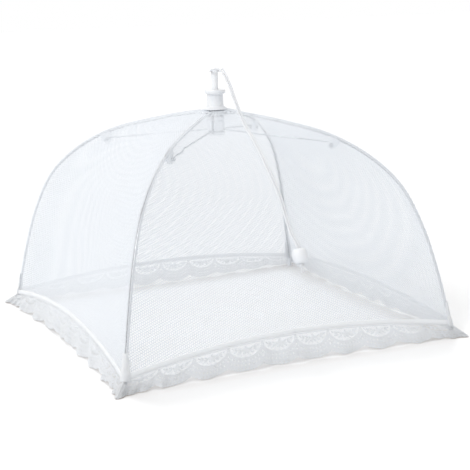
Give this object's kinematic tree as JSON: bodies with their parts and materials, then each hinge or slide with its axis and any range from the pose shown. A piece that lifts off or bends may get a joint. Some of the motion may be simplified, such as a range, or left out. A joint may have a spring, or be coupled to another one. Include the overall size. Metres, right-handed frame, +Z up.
{
  "type": "mesh food cover umbrella",
  "caption": "Pop-up square food cover: a net canopy on curved wire ribs that fold on a toggle hub with a pull cord, edged with a hem binding and a lace frill.",
  "frame": {"origin": "middle of the square on the table that the open cover stands over, in the plane of the ribs' feet", "axes": "+Z up along the plunger's axis; +Y from the cord's side (front) to the back; the ribs lie on the diagonals"},
  "size_m": [0.3526, 0.3526, 0.2527],
  "materials": {
    "white_plastic": "smooth moulded white plastic",
    "rib_steel": "drawn wire, zinc grey",
    "seam_tape": "woven white tape",
    "net": "fine white see-through net",
    "binding": "folded white polyester binding",
    "lace": "white lace with open eyelets",
    "cord_fibre": "thin braided white cord"
  },
  "bodies": {
    "crown": {"crown_collar": "white_plastic", "fabric_washer": "white_plastic", "rib_notch": "white_plastic", "rib_ring_wire": "rib_steel"},
    "runner": {"runner_tube": "white_plastic", "runner_notch": "white_plastic", "stretcher_ring_wire": "rib_steel"},
    "arm_front_left": {"rib_front_left": "rib_steel", "rib_clip_front_left": "white_plastic", "clip_rivet_front_left": "rib_steel", "rib_tip_front_left": "white_plastic", "seam_tape_front_left": "seam_tape"},
    "arm_front_right": {"rib_front_right": "rib_steel", "rib_clip_front_right": "white_plastic", "clip_rivet_front_right": "rib_steel", "rib_tip_front_right": "white_plastic", "seam_tape_front_right": "seam_tape"},
    "arm_back_right": {"rib_back_right": "rib_steel", "rib_clip_back_right": "white_plastic", "clip_rivet_back_right": "rib_steel", "rib_tip_back_right": "white_plastic", "seam_tape_back_right": "seam_tape"},
    "arm_back_left": {"rib_back_left": "rib_steel", "rib_clip_back_left": "white_plastic", "clip_rivet_back_left": "rib_steel", "rib_tip_back_left": "white_plastic", "seam_tape_back_left": "seam_tape"},
    "strut_front_left": {"stretcher_front_left": "rib_steel"},
    "strut_front_right": {"stretcher_front_right": "rib_steel"},
    "strut_back_right": {"stretcher_back_right": "rib_steel"},
    "strut_back_left": {"stretcher_back_left": "rib_steel"},
    "cloth_front": {"mesh_gore_front": "net", "hem_binding_front": "binding"},
    "frill_front": {"lace_trim_front": "lace"},
    "cloth_right": {"mesh_gore_right": "net", "hem_binding_right": "binding"},
    "frill_right": {"lace_trim_right": "lace"},
    "cloth_back": {"mesh_gore_back": "net", "hem_binding_back": "binding"},
    "frill_back": {"lace_trim_back": "lace"},
    "cloth_left": {"mesh_gore_left": "net", "hem_binding_left": "binding"},
    "frill_left": {"lace_trim_left": "lace"},
    "cord": {"pull_cord": "cord_fibre", "cord_bead": "white_plastic", "cord_knot": "cord_fibre"}
  },
  "joints": [
    {"name": "runner_slide", "type": "slide", "parent": "crown", "child": "runner", "axis": [0, 0, -1], "range_m": [0, 0.1731]},
    {"name": "rib_fold_front_left", "type": "hinge", "parent": "crown", "child": "arm_front_left", "pos_m": [-0.00481, -0.00481, 0.2055], "axis": [0.7071, -0.7071, 0], "range_deg": [0, 44.1]},
    {"name": "rib_fold_front_right", "type": "hinge", "parent": "crown", "child": "arm_front_right", "pos_m": [0.00481, -0.00481, 0.2055], "axis": [0.7071, 0.7071, 0], "range_deg": [0, 44.1]},
    {"name": "rib_fold_back_right", "type": "hinge", "parent": "crown", "child": "arm_back_right", "pos_m": [0.00481, 0.00481, 0.2055], "axis": [-0.7071, 0.7071, 0], "range_deg": [0, 44.1]},
    {"name": "rib_fold_back_left", "type": "hinge", "parent": "crown", "child": "arm_back_left", "pos_m": [-0.00481, 0.00481, 0.2055], "axis": [-0.7071, -0.7071, 0], "range_deg": [0, 44.1]},
    {"name": "stretcher_turn_front_left", "type": "hinge", "parent": "runner", "child": "strut_front_left", "pos_m": [-0.00481, -0.00481, 0.1905], "axis": [-0.7071, 0.7071, 0], "range_deg": [0, 62.3]},
    {"name": "stretcher_turn_front_right", "type": "hinge", "parent": "runner", "child": "strut_front_right", "pos_m": [0.00481, -0.00481, 0.1905], "axis": [-0.7071, -0.7071, 0], "range_deg": [0, 62.3]},
    {"name": "stretcher_turn_back_right", "type": "hinge", "parent": "runner", "child": "strut_back_right", "pos_m": [0.00481, 0.00481, 0.1905], "axis": [0.7071, -0.7071, 0], "range_deg": [0, 62.3]},
    {"name": "stretcher_turn_back_left", "type": "hinge", "parent": "runner", "child": "strut_back_left", "pos_m": [-0.00481, 0.00481, 0.1905], "axis": [0.7071, 0.7071, 0], "range_deg": [0, 62.3]},
    {"name": "cloth_fold_front", "type": "hinge", "parent": "arm_front_left", "child": "cloth_front", "pos_m": [-0.00481, -0.00481, 0.2055], "axis": [0.1602, 0.9361, -0.3132], "range_deg": [0, 31.2], "deforming": ["mesh_gore_front", "hem_binding_front"]},
    {"name": "frill_fold_front", "type": "hinge", "parent": "arm_front_right", "child": "frill_front", "pos_m": [0.00481, -0.00481, 0.2055], "axis": [0.1602, -0.9361, 0.3132], "range_deg": [0, 31.2], "deforming": ["lace_trim_front"]},
    {"name": "cloth_fold_right", "type": "hinge", "parent": "arm_front_right", "child": "cloth_right", "pos_m": [0.00481, -0.00481, 0.2055], "axis": [-0.9361, 0.1602, -0.3132], "range_deg": [0, 31.2], "deforming": ["mesh_gore_right", "hem_binding_right"]},
    {"name": "frill_fold_right", "type": "hinge", "parent": "arm_back_right", "child": "frill_right", "pos_m": [0.00481, 0.00481, 0.2055], "axis": [0.9361, 0.1602, 0.3132], "range_deg": [0, 31.2], "deforming": ["lace_trim_right"]},
    {"name": "cloth_fold_back", "type": "hinge", "parent": "arm_back_right", "child": "cloth_back", "pos_m": [0.00481, 0.00481, 0.2055], "axis": [-0.1602, -0.9361, -0.3132], "range_deg": [0, 31.2], "deforming": ["mesh_gore_back", "hem_binding_back"]},
    {"name": "frill_fold_back", "type": "hinge", "parent": "arm_back_left", "child": "frill_back", "pos_m": [-0.00481, 0.00481, 0.2055], "axis": [-0.1602, 0.9361, 0.3132], "range_deg": [0, 31.2], "deforming": ["lace_trim_back"]},
    {"name": "cloth_fold_left", "type": "hinge", "parent": "arm_back_left", "child": "cloth_left", "pos_m": [-0.00481, 0.00481, 0.2055], "axis": [0.9361, -0.1602, -0.3132], "range_deg": [0, 31.2], "deforming": ["mesh_gore_left", "hem_binding_left"]},
    {"name": "frill_fold_left", "type": "hinge", "parent": "arm_front_left", "child": "frill_left", "pos_m": [-0.00481, -0.00481, 0.2055], "axis": [-0.9361, -0.1602, 0.3132], "range_deg": [0, 31.2], "deforming": ["lace_trim_left"]},
    {"name": "cord_swing", "type": "hinge", "parent": "crown", "child": "cord", "pos_m": [0, -0.00481, 0.2055], "axis": [1, 0, 0], "range_deg": [0, 37.1], "deforming": ["pull_cord"]}
  ],
  "couplings": [
    {"joint": "rib_fold_front_left", "follows": "runner_slide", "rad_per_m": 4.4365},
    {"joint": "rib_fold_front_right", "follows": "runner_slide", "rad_per_m": 4.4365},
    {"joint": "rib_fold_back_right", "follows": "runner_slide", "rad_per_m": 4.4365},
    {"joint": "rib_fold_back_left", "follows": "runner_slide", "rad_per_m": 4.4365},
    {"joint": "stretcher_turn_front_left", "follows": "runner_slide", "rad_per_m": 6.2759},
    {"joint": "stretcher_turn_front_right", "follows": "runner_slide", "rad_per_m": 6.2759},
    {"joint": "stretcher_turn_back_right", "follows": "runner_slide", "rad_per_m": 6.2759},
    {"joint": "stretcher_turn_back_left", "follows": "runner_slide", "rad_per_m": 6.2759},
    {"joint": "cloth_fold_front", "follows": "runner_slide", "rad_per_m": 3.1391},
    {"joint": "frill_fold_front", "follows": "runner_slide", "rad_per_m": 3.1391},
    {"joint": "cloth_fold_right", "follows": "runner_slide", "rad_per_m": 3.1391},
    {"joint": "frill_fold_right", "follows": "runner_slide", "rad_per_m": 3.1391},
    {"joint": "cloth_fold_back", "follows": "runner_slide", "rad_per_m": 3.1391},
    {"joint": "frill_fold_back", "follows": "runner_slide", "rad_per_m": 3.1391},
    {"joint": "cloth_fold_left", "follows": "runner_slide", "rad_per_m": 3.1391},
    {"joint": "frill_fold_left", "follows": "runner_slide", "rad_per_m": 3.1391},
    {"joint": "cord_swing", "follows": "runner_slide", "rad_per_m": 3.7307}
  ]
}
